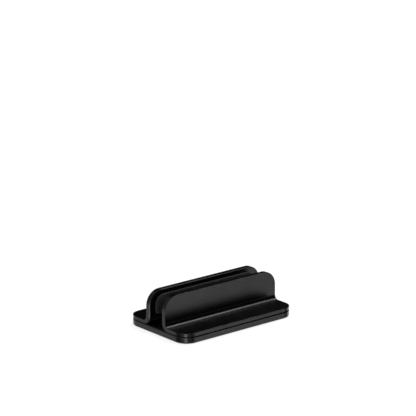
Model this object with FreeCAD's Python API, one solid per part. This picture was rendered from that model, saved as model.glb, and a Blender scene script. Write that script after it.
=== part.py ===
import FreeCAD, Part
import math
import os

# Vertical laptop dock: a base plate carries two L-shaped brackets that slide apart or together and
# clamp from below. Origin at the centre of the footprint on the desk, +X along the laptop slot,
# +Y towards the rear, +Z up, millimetres. "out" is the distance from the slot's centre plane.

# Footprint
WIDTH = 150.0
DEPTH = 94.0
CORNER_R = 14.5

# Heights, from the desk up
FEET_PROUD = 1.0
BASE_T = 5.6
BRACKET_FOOT_T = 4.3
OVERALL_H = 43.2
BASE_Z = FEET_PROUD
BASE_TOP = BASE_Z + BASE_T
FOOT_TOP = BASE_TOP + BRACKET_FOOT_T

# Bracket section, at the resting gap
SLOT_HALF = 8.0
PAD_PROUD = 2.0
FIN_T = 5.5
FIN_INNER = SLOT_HALF + PAD_PROUD
FIN_OUTER = FIN_INNER + FIN_T
INSIDE_FILLET_R = 5.2
HEEL_R = 9.0
FIN_CORNER_R = 16.0

# Edge treatment
SEAM_CHAMFER = 0.8
EDGE_R = 0.5
BRACKET_EDGE_R = 0.3

# Travel of each bracket from rest, inwards and outwards
TRAVEL_IN = 4.0
TRAVEL_OUT = 8.0

# Silicone pads
PAD_RECESS = 0.5
PAD_GAP = 0.1
PAD_EDGE_R = 0.6
FIN_PAD_HALF = 67.0
FIN_PAD_Z0 = 17.5
FIN_PAD_Z1 = 38.2
FIN_PAD_TOP_R = 11.0
FIN_PAD_LOW_R = 3.0
REST_PAD_HALF = 64.0
REST_PAD_HALF_DEPTH = 5.4
REST_PAD_R = 3.9
REST_PAD_PROUD = 0.8

# Feet
FEET_R = 6.0
FEET_RECESS = 0.8
FEET_X = 60.0
FEET_Y = 33.0

# M4 button-head clamp screws, their washers and the slots they run in
SCREW_X = 44.0
SCREW_OUT = 30.0
SCREW_R = 2.0
HEAD_R = 3.8
HEAD_FLAT_R = 2.1
HEAD_H = 2.2
HEAD_RIM = 0.5
HEAD_BULGE = 0.25
SOCKET_AF = 2.5
SOCKET_DEPTH = 1.3
SHANK_TOP = 9.4
SHANK_TIP = 0.4
TAPPED_TOP = 9.9
TAPPED_R = 2.05
FLAT_WASHER_R = 4.0
FLAT_WASHER_BORE_R = 2.15
FLAT_WASHER_T = 0.5
FLAT_WASHER_EASE = 0.12
SPRING_WASHER_R = 3.6
SPRING_WASHER_BORE_R = 2.15
SPRING_WASHER_T = 0.9
SPRING_WASHER_SPLIT = 0.6
SPRING_WASHER_TILT = 25.0
SLOT_R = SCREW_R + 0.4
SINK_R = FLAT_WASHER_R + 0.4
SINK_FLOOR = BASE_Z + HEAD_H + SPRING_WASHER_T + FLAT_WASHER_T

EPS = 0.01
OVERRUN = 1.0
Z_AXIS = FreeCAD.Vector(0, 0, 1)


def level(z):
    """Map outline coordinates (x, y) into the horizontal plane at height z."""
    return lambda x, y: FreeCAD.Vector(x, y, z)


def upright(y):
    """Map outline coordinates (x, z) into the vertical plane at y."""
    return lambda x, z: FreeCAD.Vector(x, y, z)


def rounded_rectangle(place, u0, u1, v0, v1, low_r, high_r):
    """Closed outline whose two corners at v0 have radius low_r and the two at v1 high_r."""
    corners = (
        (u0, v0, 1, 1, low_r),
        (u1, v0, -1, 1, low_r),
        (u1, v1, -1, -1, high_r),
        (u0, v1, 1, -1, high_r),
    )
    edges = []
    ends = []
    for index, (u, v, du, dv, r) in enumerate(corners):
        along_u = (u + du * r, v)
        along_v = (u, v + dv * r)
        first, last = (along_v, along_u) if index % 2 == 0 else (along_u, along_v)
        ends.append((first, last))
        if r > 0:
            shift = r * (1 - math.sqrt(0.5))
            middle = (u + du * shift, v + dv * shift)
            edges.append(Part.Arc(place(*first), place(*middle), place(*last)).toShape())
    for index in range(4):
        start = ends[index][1]
        finish = ends[(index + 1) % 4][0]
        if math.dist(start, finish) > EPS:
            edges.append(Part.LineSegment(place(*start), place(*finish)).toShape())
    return Part.Wire(Part.__sortEdges__(edges))


def slab(outline, thickness_vector):
    return Part.Face(outline).extrude(thickness_vector)


def edges_where(shape, test):
    """Edges of the shape whose middle point passes the test."""
    found = []
    for edge in shape.Edges:
        middle = edge.valueAt((edge.FirstParameter + edge.LastParameter) / 2)
        if test(middle):
            found.append(edge)
    return found


def to_rear(shape):
    """Turn a front piece half a turn about the vertical through the origin."""
    turned = shape.copy()
    turned.rotate(FreeCAD.Vector(0, 0, 0), Z_AXIS, 180)
    return turned


def stadium(x, y0, y1, radius, z0, z1):
    """Slot-shaped solid along Y whose end centres lie at y0 and y1."""
    place = level(z0)
    outline = Part.Wire(
        [
            Part.LineSegment(place(x + radius, y0), place(x + radius, y1)).toShape(),
            Part.Arc(place(x + radius, y1), place(x, y1 + radius), place(x - radius, y1)).toShape(),
            Part.LineSegment(place(x - radius, y1), place(x - radius, y0)).toShape(),
            Part.Arc(place(x - radius, y0), place(x, y0 - radius), place(x + radius, y0)).toShape(),
        ]
    )
    return slab(outline, FreeCAD.Vector(0, 0, z1 - z0))


def make_base_plate():
    half_w = WIDTH / 2
    half_d = DEPTH / 2
    outline = rounded_rectangle(level(BASE_Z), -half_w, half_w, -half_d, half_d, CORNER_R, CORNER_R)
    plate = slab(outline, FreeCAD.Vector(0, 0, BASE_T))
    plate = plate.makeChamfer(SEAM_CHAMFER, edges_where(plate, lambda p: p.z > BASE_TOP - EPS))
    plate = plate.makeFillet(EDGE_R, edges_where(plate, lambda p: p.z < BASE_Z + EPS))

    pocket_x = REST_PAD_HALF + PAD_GAP
    pocket_y = REST_PAD_HALF_DEPTH + PAD_GAP
    pocket_r = REST_PAD_R + PAD_GAP
    floor = level(BASE_TOP - PAD_RECESS)
    outline = rounded_rectangle(floor, -pocket_x, pocket_x, -pocket_y, pocket_y, pocket_r, pocket_r)
    plate = plate.cut(slab(outline, FreeCAD.Vector(0, 0, OVERRUN)))

    nearest = SCREW_OUT - TRAVEL_IN
    furthest = SCREW_OUT + TRAVEL_OUT
    for x in (-SCREW_X, SCREW_X):
        for y0, y1 in ((-furthest, -nearest), (nearest, furthest)):
            plate = plate.cut(stadium(x, y0, y1, SLOT_R, BASE_Z, BASE_TOP + OVERRUN))
            plate = plate.cut(stadium(x, y0, y1, SINK_R, BASE_Z - OVERRUN, SINK_FLOOR))
    for x in (-FEET_X, FEET_X):
        for y in (-FEET_Y, FEET_Y):
            start = FreeCAD.Vector(x, y, BASE_Z - OVERRUN)
            plate = plate.cut(Part.makeCylinder(FEET_R + PAD_GAP, FEET_RECESS + OVERRUN, start))
    return plate


def make_front_bracket():
    """Foot plate and upright fin in one piece, outlined in plan and elevation."""
    half_w = WIDTH / 2
    foot_edge = DEPTH / 2

    def section(out, z):
        return FreeCAD.Vector(-half_w, -out, z)

    def arc(centre, radius, from_deg, to_deg):
        points = []
        for angle in (from_deg, (from_deg + to_deg) / 2, to_deg):
            a = math.radians(angle)
            points.append(section(centre[0] + radius * math.cos(a), centre[1] + radius * math.sin(a)))
        return Part.Arc(*points).toShape()

    def line(start, finish):
        return Part.LineSegment(section(*start), section(*finish)).toShape()

    heel = (FIN_INNER + HEEL_R, BASE_TOP + HEEL_R)
    inside = (FIN_OUTER + INSIDE_FILLET_R, FOOT_TOP + INSIDE_FILLET_R)
    profile = Part.Wire(
        [
            line((heel[0], BASE_TOP), (foot_edge, BASE_TOP)),
            line((foot_edge, BASE_TOP), (foot_edge, FOOT_TOP)),
            line((foot_edge, FOOT_TOP), (inside[0], FOOT_TOP)),
            arc(inside, INSIDE_FILLET_R, 270, 180),
            line((FIN_OUTER, inside[1]), (FIN_OUTER, OVERALL_H)),
            line((FIN_OUTER, OVERALL_H), (FIN_INNER, OVERALL_H)),
            line((FIN_INNER, OVERALL_H), (FIN_INNER, heel[1])),
            arc(heel, HEEL_R, 180, 270),
        ]
    )
    bracket = slab(profile, FreeCAD.Vector(WIDTH, 0, 0))
    plan = rounded_rectangle(level(BASE_TOP), -half_w, half_w, -foot_edge, 0, CORNER_R, 0)
    elevation = rounded_rectangle(upright(0), -half_w, half_w, BASE_TOP, OVERALL_H, 0, FIN_CORNER_R)
    bracket = bracket.common(slab(plan, FreeCAD.Vector(0, 0, OVERALL_H)))
    bracket = bracket.common(slab(elevation, FreeCAD.Vector(0, -DEPTH, 0)))

    def on_border(p):
        return abs(p.x) > EPS or p.y < -foot_edge + EPS or p.z > OVERALL_H - EPS

    def on_outer_side(p):
        return on_border(p) and -p.y > FIN_OUTER - EPS and p.z > FOOT_TOP - EPS

    def on_inner_side(p):
        out = -p.y
        on_heel = abs(math.hypot(out - heel[0], p.z - heel[1]) - HEEL_R) < EPS
        on_heel = on_heel and out < heel[0] and p.z < heel[1]
        return on_border(p) and (on_heel or p.z < BASE_TOP + EPS or out < FIN_INNER + EPS)

    bracket = bracket.makeFillet(BRACKET_EDGE_R, edges_where(bracket, on_outer_side))
    bracket = bracket.makeChamfer(SEAM_CHAMFER, edges_where(bracket, on_inner_side))

    recess = fin_pad_outline(-FIN_INNER - PAD_RECESS, PAD_GAP)
    bracket = bracket.cut(slab(recess, FreeCAD.Vector(0, OVERRUN, 0)))
    for x in (-SCREW_X, SCREW_X):
        start = FreeCAD.Vector(x, -SCREW_OUT, BASE_TOP - OVERRUN)
        bracket = bracket.cut(Part.makeCylinder(TAPPED_R, TAPPED_TOP - BASE_TOP + OVERRUN, start))
    return bracket


def fin_pad_outline(y, grow):
    return rounded_rectangle(
        upright(y),
        -FIN_PAD_HALF - grow,
        FIN_PAD_HALF + grow,
        FIN_PAD_Z0 - grow,
        FIN_PAD_Z1 + grow,
        FIN_PAD_LOW_R + grow,
        FIN_PAD_TOP_R + grow,
    )


def make_front_fin_pad():
    back = -FIN_INNER - PAD_RECESS
    pad = slab(fin_pad_outline(back, 0), FreeCAD.Vector(0, PAD_RECESS + PAD_PROUD, 0))
    return pad.makeFillet(PAD_EDGE_R, edges_where(pad, lambda p: p.y > -SLOT_HALF - EPS))


def make_rest_pad():
    z0 = BASE_TOP - PAD_RECESS
    thickness = PAD_RECESS + REST_PAD_PROUD
    half_x = REST_PAD_HALF
    half_y = REST_PAD_HALF_DEPTH
    outline = rounded_rectangle(level(z0), -half_x, half_x, -half_y, half_y, REST_PAD_R, REST_PAD_R)
    pad = slab(outline, FreeCAD.Vector(0, 0, thickness))
    return pad.makeFillet(EDGE_R, edges_where(pad, lambda p: p.z > z0 + thickness - EPS))


def make_foot_pad(x, y):
    pad = Part.makeCylinder(FEET_R, FEET_PROUD + FEET_RECESS, FreeCAD.Vector(x, y, 0))
    return pad.makeFillet(EDGE_R, edges_where(pad, lambda p: p.z < EPS))


def turned(points, x, y):
    """Solid of revolution about the vertical through (x, y) from (radius, z) corners."""
    corners = [FreeCAD.Vector(x + r, y, z) for r, z in points]
    face = Part.Face(Part.makePolygon(corners + corners[:1]))
    return face.revolve(FreeCAD.Vector(x, y, 0), Z_AXIS, 360)


def make_clamp_screw(x, y):
    """Button head down, hexagon socket open below, shank up into the bracket's tapped hole."""
    under_head = BASE_Z + HEAD_H
    dome_top = under_head - HEAD_RIM
    bulge = HEAD_BULGE * math.sqrt(0.5)

    def at(r, z):
        return FreeCAD.Vector(x + r, y, z)

    dome_middle = at((HEAD_FLAT_R + HEAD_R) / 2 + bulge, (BASE_Z + dome_top) / 2 - bulge)
    dome = Part.Arc(at(HEAD_FLAT_R, BASE_Z), dome_middle, at(HEAD_R, dome_top))
    edges = [
        Part.LineSegment(at(0, BASE_Z), at(HEAD_FLAT_R, BASE_Z)).toShape(),
        dome.toShape(),
    ]
    steps = [
        (HEAD_R, dome_top),
        (HEAD_R, under_head),
        (SCREW_R, under_head),
        (SCREW_R, SHANK_TOP - SHANK_TIP),
        (SCREW_R - SHANK_TIP, SHANK_TOP),
        (0, SHANK_TOP),
        (0, BASE_Z),
    ]
    for start, finish in zip(steps, steps[1:]):
        edges.append(Part.LineSegment(at(*start), at(*finish)).toShape())
    screw = Part.Face(Part.Wire(edges)).revolve(FreeCAD.Vector(x, y, 0), Z_AXIS, 360)

    socket_r = SOCKET_AF / math.sqrt(3)
    corners = []
    for index in range(6):
        a = math.radians(60 * index)
        corner = (x + socket_r * math.cos(a), y + socket_r * math.sin(a), BASE_Z - OVERRUN)
        corners.append(FreeCAD.Vector(*corner))
    socket = Part.Face(Part.makePolygon(corners + corners[:1]))
    return screw.cut(socket.extrude(FreeCAD.Vector(0, 0, SOCKET_DEPTH + OVERRUN)))


def make_flat_washer(x, y):
    z0 = SINK_FLOOR - FLAT_WASHER_T
    section = [
        (FLAT_WASHER_BORE_R, z0),
        (FLAT_WASHER_R - FLAT_WASHER_EASE, z0),
        (FLAT_WASHER_R, z0 + FLAT_WASHER_EASE),
        (FLAT_WASHER_R, z0 + FLAT_WASHER_T),
        (FLAT_WASHER_BORE_R, z0 + FLAT_WASHER_T),
    ]
    return turned(section, x, y)


def make_spring_washer(x, y):
    """Split lock washer squeezed flat under the screw's head."""
    z0 = BASE_Z + HEAD_H
    z1 = z0 + SPRING_WASHER_T
    section = [
        (SPRING_WASHER_BORE_R, z0),
        (SPRING_WASHER_R, z0),
        (SPRING_WASHER_R, z1),
        (SPRING_WASHER_BORE_R, z1),
    ]
    ring = turned(section, x, y)
    split = Part.makeBox(
        SPRING_WASHER_R + OVERRUN,
        SPRING_WASHER_SPLIT,
        3 * SPRING_WASHER_T,
        FreeCAD.Vector(x, y - SPRING_WASHER_SPLIT / 2, z0 - SPRING_WASHER_T),
    )
    split.rotate(FreeCAD.Vector(x, y, (z0 + z1) / 2), FreeCAD.Vector(1, 0, 0), SPRING_WASHER_TILT)
    return ring.cut(split)


parts = {
    "base_plate": make_base_plate(),
    "rest_pad": make_rest_pad(),
    "front_bracket": make_front_bracket(),
    "front_fin_pad": make_front_fin_pad(),
}
parts["rear_bracket"] = to_rear(parts["front_bracket"])
parts["rear_fin_pad"] = to_rear(parts["front_fin_pad"])
for row, row_sign in (("front", -1), ("rear", 1)):
    for side, side_sign in (("left", -1), ("right", 1)):
        where = row + "_" + side
        screw_at = (side_sign * SCREW_X, row_sign * SCREW_OUT)
        parts["foot_pad_" + where] = make_foot_pad(side_sign * FEET_X, row_sign * FEET_Y)
        parts["clamp_screw_" + where] = make_clamp_screw(*screw_at)
        parts["flat_washer_" + where] = make_flat_washer(*screw_at)
        parts["spring_washer_" + where] = make_spring_washer(*screw_at)

os.makedirs("parts", exist_ok=True)
for node, shape in parts.items():
    shape.exportStep("parts/" + node + ".step")
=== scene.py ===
import bmesh
import bpy
import math
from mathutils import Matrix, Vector


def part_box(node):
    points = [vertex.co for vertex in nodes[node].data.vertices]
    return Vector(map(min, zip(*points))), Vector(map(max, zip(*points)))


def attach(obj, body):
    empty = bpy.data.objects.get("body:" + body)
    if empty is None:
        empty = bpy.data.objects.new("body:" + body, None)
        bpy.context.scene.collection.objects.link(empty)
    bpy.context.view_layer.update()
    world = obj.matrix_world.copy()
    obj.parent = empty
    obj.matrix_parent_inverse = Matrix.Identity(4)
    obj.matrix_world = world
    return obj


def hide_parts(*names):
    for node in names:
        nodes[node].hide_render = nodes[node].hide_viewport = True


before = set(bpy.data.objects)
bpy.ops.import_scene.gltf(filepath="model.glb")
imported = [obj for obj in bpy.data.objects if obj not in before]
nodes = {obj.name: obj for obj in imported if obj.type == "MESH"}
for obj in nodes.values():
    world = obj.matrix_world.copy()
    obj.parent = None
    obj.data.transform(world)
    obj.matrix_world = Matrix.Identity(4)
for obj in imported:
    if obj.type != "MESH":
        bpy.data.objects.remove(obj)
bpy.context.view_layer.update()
MM = 0.001


# ---------------------------------------------------------------- node helpers

class Graph:
    """Adds nodes to one tree. An input given as a socket is linked, any other value is set."""

    def __init__(self, tree):
        self.tree = tree
        self.tree.nodes.clear()

    def add(self, kind, props=None, **inputs):
        node = self.tree.nodes.new(kind)
        for name, value in (props or {}).items():
            setattr(node, name, value)
        for name, value in inputs.items():
            self.put(node, name, value)
        return node

    def put(self, node, name, value):
        """Fill one input, named with _ for a space, or i and its number."""
        key = int(name[1:]) if name[0] == "i" and name[1:].isdigit() else name.replace("_", " ")
        socket = node.inputs[key]
        if isinstance(value, bpy.types.NodeSocket):
            self.tree.links.new(value, socket)
        else:
            socket.default_value = value

    def math(self, operation, a, b=0.0, c=0.0):
        return self.add("ShaderNodeMath", {"operation": operation}, i0=a, i1=b, i2=c).outputs[0]

    def product(self, a, b):
        return self.math("MULTIPLY", a, b)

    def total(self, a, b):
        return self.math("ADD", a, b)

    def remainder(self, a):
        """What is left of 1 beside a."""
        return self.math("SUBTRACT", 1.0, a)

    def ramp(self, value, low, high, to_low=0.0, to_high=1.0):
        """A smooth step from to_low at low to to_high at high, level beyond both."""
        props = {"interpolation_type": "SMOOTHSTEP", "clamp": True}
        node = self.add("ShaderNodeMapRange", props, i0=value, i1=low, i2=high, i3=to_low, i4=to_high)
        return node.outputs[0]

    def noise(self, vector, scale, detail, roughness):
        node = self.add("ShaderNodeTexNoise", None, Scale=scale, Detail=detail, Roughness=roughness)
        self.tree.links.new(vector, node.inputs["Vector"])
        return node.outputs["Fac"]

    def mix(self, factor, a, b):
        node = self.add("ShaderNodeMix", {"data_type": "RGBA"}, i0=factor, i6=a, i7=b)
        return node.outputs[2]

    def bump(self, height, distance, strength):
        node = self.add("ShaderNodeBump", None, Strength=strength, Distance=distance, Height=height)
        return node.outputs[0]


def new_material(name):
    material = bpy.data.materials.new(name)
    material.use_nodes = True
    graph = Graph(material.node_tree)
    place = graph.add("ShaderNodeTexCoord").outputs["Object"]
    shader = graph.add("ShaderNodeBsdfPrincipled")
    out = graph.add("ShaderNodeOutputMaterial")
    graph.tree.links.new(shader.outputs[0], out.inputs["Surface"])
    return material, graph, place, shader


# ------------------------------------------------------------------- materials

# Linear colours. DYE and RUBBED are the black anodised metal, on open ground and along its edges.
DYE_DARK = (0.045, 0.045, 0.0455, 1)
DYE_LIGHT = (0.065, 0.065, 0.0655, 1)
RUBBED = (0.125, 0.125, 0.128, 1)
PAD_DARK = (0.010, 0.010, 0.011, 1)
PAD_LIGHT = (0.022, 0.022, 0.023, 1)
FOOT_DARK = (0.026, 0.026, 0.027, 1)
FOOT_LIGHT = (0.046, 0.046, 0.047, 1)
LINT = (0.11, 0.108, 0.104, 1)
OXIDE_DARK = (0.06, 0.061, 0.066, 1)
OXIDE_LIGHT = (0.1, 0.101, 0.106, 1)
ZINC_DARK = (0.42, 0.43, 0.45, 1)
ZINC_LIGHT = (0.56, 0.56, 0.57, 1)
FLOOR_DARK = (0.30, 0.30, 0.30, 1)
FLOOR_LIGHT = (0.32, 0.32, 0.32, 1)


def edge_mask(g, place, radius):
    """About 1 along edges and 0 on open ground, broken into patches as handling would."""
    rounded = g.add("ShaderNodeBevel", {"samples": 6}, Radius=radius).outputs[0]
    normal = g.add("ShaderNodeNewGeometry").outputs["Normal"]
    likeness = g.add("ShaderNodeVectorMath", {"operation": "DOT_PRODUCT"}, i0=rounded, i1=normal)
    open_ground, on_the_edge = 0.985, 0.86
    near = g.ramp(likeness.outputs["Value"], open_ground, on_the_edge)
    patches = g.ramp(g.noise(place, 240.0, 3.0, 0.6), 0.4, 0.62, 0.3, 1.0)
    return g.product(near, patches)


def rub_marks(g, place):
    """Faint streaks along Y where the brackets slide over the top of the base plate."""
    along_y = (1.0, 0.03, 1.0)
    stretched = g.add("ShaderNodeMapping", None, Vector=place, Scale=along_y).outputs[0]
    streaks = g.ramp(g.noise(stretched, 2600.0, 3.0, 0.7), 0.55, 0.72)
    split = g.add("ShaderNodeSeparateXYZ", None, Vector=place)
    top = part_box("base_plate")[1].z
    on_top = g.ramp(split.outputs["Z"], top - 0.4 * MM, top - 0.1 * MM)
    clear_of_brackets, under_brackets = 12.0 * MM, 16.0 * MM
    swept = g.ramp(g.math("ABSOLUTE", split.outputs["Y"]), clear_of_brackets, under_brackets)
    return g.product(g.product(streaks, on_top), swept)


def anodised(name, slides_on_top=False):
    """Bead-blasted aluminium, dyed black: satin, finely pitted, a little brighter along its edges."""
    material, g, place, shader = new_material(name)
    pits = g.noise(place, 5200.0, 2.0, 0.65)
    mottle = g.noise(place, 900.0, 3.0, 0.6)
    cloud = g.noise(place, 34.0, 3.0, 0.55)
    worn = edge_mask(g, place, 0.5 * MM)
    if slides_on_top:
        worn = g.math("MAXIMUM", worn, g.product(rub_marks(g, place), 0.7))
    tint = g.total(g.product(mottle, 0.4), g.product(cloud, 0.3))
    tint = g.math("MULTIPLY_ADD", pits, 0.3, tint)
    dye = g.mix(g.ramp(tint, 0.36, 0.64), DYE_DARK, DYE_LIGHT)
    g.put(shader, "Base_Color", g.mix(g.product(worn, 0.75), dye, RUBBED))
    g.put(shader, "Metallic", 1.0)
    smoothest, roughest, from_pits, from_wear = 0.248, 0.27, 0.08, -0.035
    rough = g.total(g.ramp(cloud, 0.3, 0.7, smoothest, roughest), g.product(pits, from_pits))
    g.put(shader, "Roughness", g.math("MULTIPLY_ADD", worn, from_wear, rough))
    blast = g.math("MULTIPLY_ADD", mottle, 0.6, pits)
    blast_depth = 0.022 * MM
    g.put(shader, "Normal", g.bump(blast, blast_depth, 0.9))
    return material


def silicone(name, dark, light, cell_scale):
    """Matt moulded silicone rubber: a leathery mould texture, hazy patches and a little lint."""
    material, g, place, shader = new_material(name)
    cells = g.add("ShaderNodeTexVoronoi", {"feature": "SMOOTH_F1"}, Scale=cell_scale, Smoothness=0.35)
    g.tree.links.new(place, cells.inputs["Vector"])
    fine = g.noise(place, 6500.0, 2.0, 0.6)
    haze = g.noise(place, 70.0, 3.0, 0.6)
    lint = g.ramp(g.noise(place, 1500.0, 1.0, 0.4), 0.74, 0.79)
    hazy = g.ramp(haze, 0.3, 0.7, 0.0, 0.7)
    leathery = g.product(cells.outputs["Distance"], 0.4)
    rubber = g.mix(g.total(hazy, leathery), dark, light)
    g.put(shader, "Base_Color", g.mix(g.product(lint, 0.6), rubber, LINT))
    g.put(shader, "Metallic", 0.0)
    dull = g.ramp(haze, 0.3, 0.7, 0.5, 0.64)
    g.put(shader, "Roughness", g.math("MULTIPLY_ADD", fine, 0.12, dull))
    g.put(shader, "Specular_IOR_Level", 0.45)
    relief = g.math("MULTIPLY_ADD", fine, 0.35, cells.outputs["Distance"])
    texture_depth = 0.07 * MM
    g.put(shader, "Normal", g.bump(relief, texture_depth, 0.85))
    return material


def steel(name, dark, light, roughness):
    """Turned steel: fine rings about each screw's axis over a slightly cloudy plating."""
    material, g, place, shader = new_material(name)
    lowest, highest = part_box("clamp_screw_rear_right")
    middle = (lowest + highest) / 2
    split = g.add("ShaderNodeSeparateXYZ", None, Vector=place)
    across = g.math("SUBTRACT", g.math("ABSOLUTE", split.outputs["X"]), middle.x)
    along = g.math("SUBTRACT", g.math("ABSOLUTE", split.outputs["Y"]), middle.y)
    radius = g.math("SQRT", g.math("MULTIPLY_ADD", across, across, g.product(along, along)))
    ring = g.add("ShaderNodeCombineXYZ", None, X=radius, Y=0.0, Z=split.outputs["Z"]).outputs[0]
    marks = g.noise(ring, 7000.0, 2.0, 0.7)
    cloud = g.noise(place, 420.0, 2.0, 0.5)
    g.put(shader, "Base_Color", g.mix(g.ramp(cloud, 0.35, 0.65), dark, light))
    g.put(shader, "Metallic", 1.0)
    g.put(shader, "Roughness", g.math("MULTIPLY_ADD", marks, 0.14, roughness))
    mark_depth = 0.014 * MM
    g.put(shader, "Normal", g.bump(marks, mark_depth, 0.6))
    return material


looks = {
    "base_metal": anodised("black_anodised_plate", slides_on_top=True),
    "bracket_metal": anodised("black_anodised_bracket"),
    "silicone": silicone("matt_silicone", PAD_DARK, PAD_LIGHT, cell_scale=2400.0),
    "foot_silicone": silicone("foot_silicone_matt", FOOT_DARK, FOOT_LIGHT, cell_scale=1900.0),
    "screw_steel": steel("black_oxide_steel", OXIDE_DARK, OXIDE_LIGHT, roughness=0.26),
    "washer_steel": steel("zinc_steel", ZINC_DARK, ZINC_LIGHT, roughness=0.24),
}
for node in nodes.values():
    for slot in node.material_slots:
        slot.material = looks[slot.material.name]


# --------------------------------------------------------------- moulded pads

def outline(half_u, half_v, low_r, high_r, inset, steps):
    """Points round a rounded rectangle drawn in by inset, the same number of them for every inset."""
    arc_steps, long_steps, end_steps = steps
    corners = (
        (1, -1, low_r, -90, end_steps),
        (1, 1, high_r, 0, long_steps),
        (-1, 1, high_r, 90, end_steps),
        (-1, -1, low_r, 180, long_steps),
    )
    arcs = []
    for side_u, side_v, radius, start, _ in corners:
        left = max(radius - inset, 0.0)
        centre_u = side_u * (half_u - inset - left)
        centre_v = side_v * (half_v - inset - left)
        arc = []
        for step in range(arc_steps + 1):
            angle = math.radians(start + 90 * step / arc_steps)
            arc.append((centre_u + left * math.cos(angle), centre_v + left * math.sin(angle)))
        arcs.append(arc)
    points = []
    for index, arc in enumerate(arcs):
        points += arc
        finish = arcs[(index + 1) % 4][0]
        count = corners[index][4]
        for step in range(1, count):
            share = step / count
            points.append(tuple(a + (b - a) * share for a, b in zip(arc[-1], finish)))
    return points


def groove(distance, centre, width, depth):
    """Depth of a round-bottomed groove at this distance, 0 outside it."""
    off = abs(distance - centre) / (width / 2)
    return depth * math.sqrt(1 - off * off) if off < 1 else 0.0


def moulded_pad(name, node, body, slot, place, size, edge_r, relief, steps):
    """Closed rubber pad: upright sides, a rounded rim and a face lowered by relief(inset, v)."""
    half_u, half_v, low_r, high_r, thickness = size
    pitch = 0.2 * MM
    innermost = 0.04 * MM
    weld = 0.002 * MM
    rim_steps = 6
    rings = [(0.0, 0.0, False)]
    for step in range(rim_steps + 1):
        angle = math.radians(90 * step / rim_steps)
        height = thickness - edge_r + edge_r * math.sin(angle)
        rings.append((edge_r * (1 - math.cos(angle)), height, False))
    last = min(half_u, half_v) - innermost
    count = math.ceil((last - edge_r) / pitch)
    for step in range(1, count + 1):
        rings.append((edge_r + (last - edge_r) * step / count, thickness, True))

    work = bmesh.new()
    loops = []
    for inset, height, on_face in rings:
        loop = []
        for u, v in outline(half_u, half_v, low_r, high_r, inset, steps):
            drop = relief(inset, v) if on_face else 0.0
            loop.append(work.verts.new(place(u, v, height - drop)))
        loops.append(loop)
    for lower, upper in zip(loops, loops[1:]):
        for index, vertex in enumerate(lower):
            after = (index + 1) % len(lower)
            work.faces.new((vertex, lower[after], upper[after], upper[index]))
    work.faces.new(loops[0][::-1])
    work.faces.new(loops[-1])
    bmesh.ops.remove_doubles(work, verts=work.verts, dist=weld)
    bmesh.ops.recalc_face_normals(work, faces=work.faces)
    mesh = bpy.data.meshes.new(name)
    work.to_mesh(mesh)
    work.free()
    mesh.polygons.foreach_set("use_smooth", [True] * len(mesh.polygons))
    mesh.set_sharp_from_angle(angle=math.radians(50))
    mesh.materials.append(looks[slot])
    pad = bpy.data.objects.new(name, mesh)
    bpy.context.scene.collection.objects.link(pad)
    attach(pad, body)
    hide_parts(node)


def make_fin_pad(row, facing):
    """Ribbed pad on a fin's inner face; facing is the side along Y that it looks to."""
    lowest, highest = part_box(row + "_fin_pad")
    middle = (lowest + highest) / 2
    half = (highest - lowest) / 2
    back = lowest.y if facing > 0 else highest.y
    low_r, high_r, edge_r = 3.0 * MM, 11.0 * MM, 0.8 * MM
    frame_in, frame_width, frame_depth = 2.1 * MM, 0.8 * MM, 0.28 * MM
    field_in, field_fade = 2.9 * MM, 0.5 * MM
    rib_pitch, rib_depth = 1.55 * MM, 0.2 * MM

    def place(u, v, w):
        return (middle.x + u, back + facing * w, middle.z + v)

    def relief(inset, v):
        field = min(max((inset - field_in) / field_fade, 0.0), 1.0)
        ribs = 0.5 - 0.5 * math.cos(2 * math.pi * v / rib_pitch)
        return groove(inset, frame_in, frame_width, frame_depth) + field * ribs * rib_depth

    size = (half.x, half.z, low_r, high_r, 2 * half.y)
    moulded_pad(
        row + "_fin_pad_ribbed", row + "_fin_pad", row + "_clamp", "silicone", place, size,
        edge_r, relief, steps=(32, 60, 24),
    )


def make_rest_pad():
    """Pad between the fins, with two racetrack grooves in its top."""
    lowest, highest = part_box("rest_pad")
    half = (highest - lowest) / 2
    corner_r, edge_r = 3.9 * MM, 0.45 * MM
    grooves_in, groove_width, groove_depth = (1.7 * MM, 3.4 * MM), 0.8 * MM, 0.32 * MM

    def place(u, v, w):
        return (u, v, lowest.z + w)

    def relief(inset, v):
        return sum(groove(inset, centre, groove_width, groove_depth) for centre in grooves_in)

    size = (half.x, half.y, corner_r, corner_r, 2 * half.z)
    moulded_pad(
        "rest_pad_grooved", "rest_pad", "base", "silicone", place, size,
        edge_r, relief, steps=(12, 60, 4),
    )


def make_foot_pad(where):
    """Round foot, ringed underneath, with the small dimple of its moulding gate in the middle."""
    lowest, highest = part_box("foot_pad_" + where)
    middle = (lowest + highest) / 2
    radius = (highest.x - lowest.x) / 2
    edge_r = 0.5 * MM
    rings_in, ring_width, ring_depth = (1.5 * MM, 3.0 * MM), 0.7 * MM, 0.25 * MM
    dimple_width, dimple_depth = 2.0 * MM, 0.2 * MM

    def place(u, v, w):
        return (middle.x + u, middle.y + v, highest.z - w)

    def relief(inset, v):
        rings = sum(groove(inset, centre, ring_width, ring_depth) for centre in rings_in)
        return rings + groove(inset, radius, dimple_width, dimple_depth)

    size = (radius, radius, radius, radius, highest.z - lowest.z)
    moulded_pad(
        "foot_pad_ringed_" + where, "foot_pad_" + where, "base", "foot_silicone", place, size,
        edge_r, relief, steps=(18, 1, 1),
    )


make_rest_pad()
make_fin_pad("front", 1)
make_fin_pad("rear", -1)
for row in ("front", "rear"):
    for side in ("left", "right"):
        make_foot_pad(row + "_" + side)


# ------------------------------------------------------------ floor and lights

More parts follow.
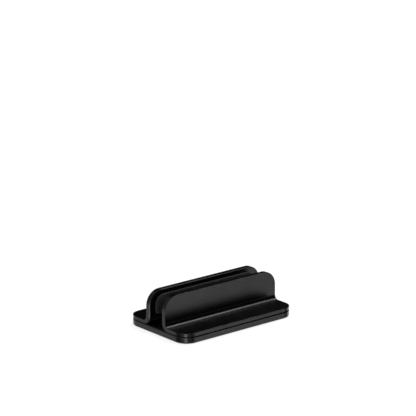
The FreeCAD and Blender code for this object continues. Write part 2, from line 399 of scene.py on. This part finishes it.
def make_floor():
    """Pale ground with a soft glow that keeps its shadows light. The glow stops under the base plate,
    leaving a painted shadow in the gap beneath it.
    """
    size, glow = 6.0, 0.7
    plate_corner_r = 14.5 * MM
    glow_starts, glow_full = plate_corner_r - 1.5 * MM, plate_corner_r - 0.1 * MM
    mesh = bpy.data.meshes.new("floor")
    corners = [(-size, -size, 0), (size, -size, 0), (size, size, 0), (-size, size, 0)]
    mesh.from_pydata(corners, [], [(0, 1, 2, 3)])
    floor = bpy.data.objects.new("floor", mesh)
    bpy.context.scene.collection.objects.link(floor)
    material, g, place, shader = new_material("pale_floor")
    tone = g.ramp(g.noise(place, 3.0, 2.0, 0.5), 0.3, 0.7)
    g.put(shader, "Base_Color", g.mix(tone, FLOOR_DARK, FLOOR_LIGHT))
    g.put(shader, "Emission_Color", (1, 1, 1, 1))
    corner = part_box("base_plate")[1]
    split = g.add("ShaderNodeSeparateXYZ", None, Vector=place)
    squares = []
    for axis, half in (("X", corner.x), ("Y", corner.y)):
        distance = g.math("SUBTRACT", g.math("ABSOLUTE", split.outputs[axis]), half - plate_corner_r)
        squares.append(g.math("POWER", g.math("MAXIMUM", distance, 0.0), 2.0))
    reach = g.math("SQRT", g.total(squares[0], squares[1]))
    # Glow is full away from the base plate and fades to none just inside its outline: the dark floor under
    # the plate is painted shadow.
    lit_outside_painted_shadow = g.ramp(reach, glow_starts, glow_full)
    g.put(shader, "Emission_Strength", g.product(lit_outside_painted_shadow, glow))
    g.put(shader, "Roughness", 0.9)
    g.put(shader, "Specular_IOR_Level", 0.0)
    mesh.materials.append(material)
    floor.visible_glossy = False


def direction(azimuth, elevation):
    """Unit vector; azimuth runs from +Y towards +X."""
    a, e = math.radians(azimuth), math.radians(elevation)
    return Vector((math.sin(a) * math.cos(e), math.cos(a) * math.cos(e), math.sin(e)))


def softbox(name, azimuth, elevation, distance, width, height, radiance):
    """Rectangular lamp at this direction and distance from the origin, facing it."""
    light = bpy.data.lights.new(name, "AREA")
    light.shape = "RECTANGLE"
    light.size = width
    light.size_y = height
    light.energy = radiance * math.pi * width * height
    lamp = bpy.data.objects.new(name, light)
    towards = direction(azimuth, elevation)
    lamp.location = towards * distance
    lamp.rotation_mode = "QUATERNION"
    lamp.rotation_quaternion = towards.to_track_quat("Z", "Y")
    bpy.context.scene.collection.objects.link(lamp)


# Soft upright strips below the horizon: azimuth, half-width, half-width with its fade, brightness.
STRIPS = (
    (-39, 3, 11, 0.8),
    (-135, 1, 10, 4.0),
    (-167, 6, 16, 0.22),
    (-112, 6, 34, 0.28),
    (62, 36, 45, 1.5),
    (0, 16, 40, 0.8),
)


def make_world():
    """Pale surroundings for the floor and the eye, and a dark studio with soft strips to be mirrored."""
    plain = 1.06
    low_ground, low_underfoot = 0.055, 0.24
    sky_open, sky_shaded, sky_zenith = 0.22, 0.003, 0.9
    front_strip_glow, skyline_glow = 3.2, 0.18

    world = bpy.data.worlds.new("studio")
    bpy.context.scene.world = world
    world.use_nodes = True
    world.cycles.sampling_method = "NONE"
    g = Graph(world.node_tree)
    ray = g.add("ShaderNodeTexCoord").outputs["Generated"]
    split = g.add("ShaderNodeSeparateXYZ", None, Vector=ray)
    flat = g.add("ShaderNodeCombineXYZ", None, X=split.outputs["X"], Y=split.outputs["Y"], Z=0.0)
    level = g.add("ShaderNodeVectorMath", {"operation": "NORMALIZE"}, i0=flat.outputs[0]).outputs[0]

    def sector(azimuth, full, fade):
        """1 within full degrees of the azimuth, falling to 0 at fade degrees."""
        towards = g.add("ShaderNodeVectorMath", {"operation": "DOT_PRODUCT"}, i0=level)
        towards.inputs[1].default_value = direction(azimuth, 0)
        cos_fade, cos_full = math.cos(math.radians(fade)), math.cos(math.radians(full))
        return g.ramp(towards.outputs["Value"], cos_fade, cos_full)

    def band(none_at, full_at, strength=1.0):
        """0 at one elevation in degrees, rising to strength at the other."""
        none_z, full_z = math.sin(math.radians(none_at)), math.sin(math.radians(full_at))
        return g.ramp(split.outputs["Z"], none_z, full_z, 0.0, strength)

    low = low_ground
    for azimuth, full, fade, strength in STRIPS:
        low = g.math("MULTIPLY_ADD", sector(azimuth, full, fade), strength, low)
    underfoot = band(-24, -38)
    low = g.math("MULTIPLY_ADD", underfoot, g.math("SUBTRACT", low_underfoot, low), low)
    shade = sector(90, 72, 96)
    high = g.total(g.ramp(shade, 0.0, 1.0, sky_open, sky_shaded), band(60, 76, sky_zenith))

    below = band(0, -6)
    well_below = band(-3, -32)
    mirrored = g.total(g.product(high, g.remainder(below)), g.product(low, below))
    front_strip = g.product(g.product(sector(142, 2.6, 7), well_below), front_strip_glow)
    mirrored = g.total(mirrored, front_strip)
    skyline = g.product(band(6, -1), g.remainder(well_below))
    skyline = g.product(skyline, sector(141, 6, 16))
    mirrored = g.math("MULTIPLY_ADD", skyline, skyline_glow, mirrored)

    glossy = g.add("ShaderNodeLightPath").outputs["Is Glossy Ray"]
    strength = g.add("ShaderNodeMix", {"data_type": "FLOAT"}, i0=glossy, i2=plain, i3=mirrored)
    background = g.add("ShaderNodeBackground", None, Color=(1, 1, 1, 1), Strength=strength.outputs[0])
    out = g.add("ShaderNodeOutputWorld")
    g.tree.links.new(background.outputs[0], out.inputs["Surface"])


make_floor()
make_world()
softbox("side_softbox", azimuth=85, elevation=57, distance=0.9, width=0.52, height=0.22, radiance=6.5)
softbox("top_softbox", azimuth=-60, elevation=82, distance=1.4, width=0.9, height=0.9, radiance=0.35)


# ---------------------------------------------------------------------- camera

def make_camera():
    """The photograph's viewpoint: front left and a little above, through a long lens."""
    heading, pitch, distance = 39.853, 16.187, 2.539
    aim = Vector((0.0, 0.0057, 0.1202))
    data = bpy.data.cameras.new("camera")
    data.lens = 212.1
    data.sensor_width = 36.0
    data.clip_start = 0.05
    data.clip_end = 30.0
    camera = bpy.data.objects.new("camera", data)
    ahead = direction(heading, -pitch)
    camera.location = aim - ahead * distance
    camera.rotation_mode = "QUATERNION"
    camera.rotation_quaternion = ahead.to_track_quat("-Z", "Y")
    bpy.context.scene.collection.objects.link(camera)
    bpy.context.scene.camera = camera


make_camera()
bpy.context.scene.view_settings.view_transform = "Standard"
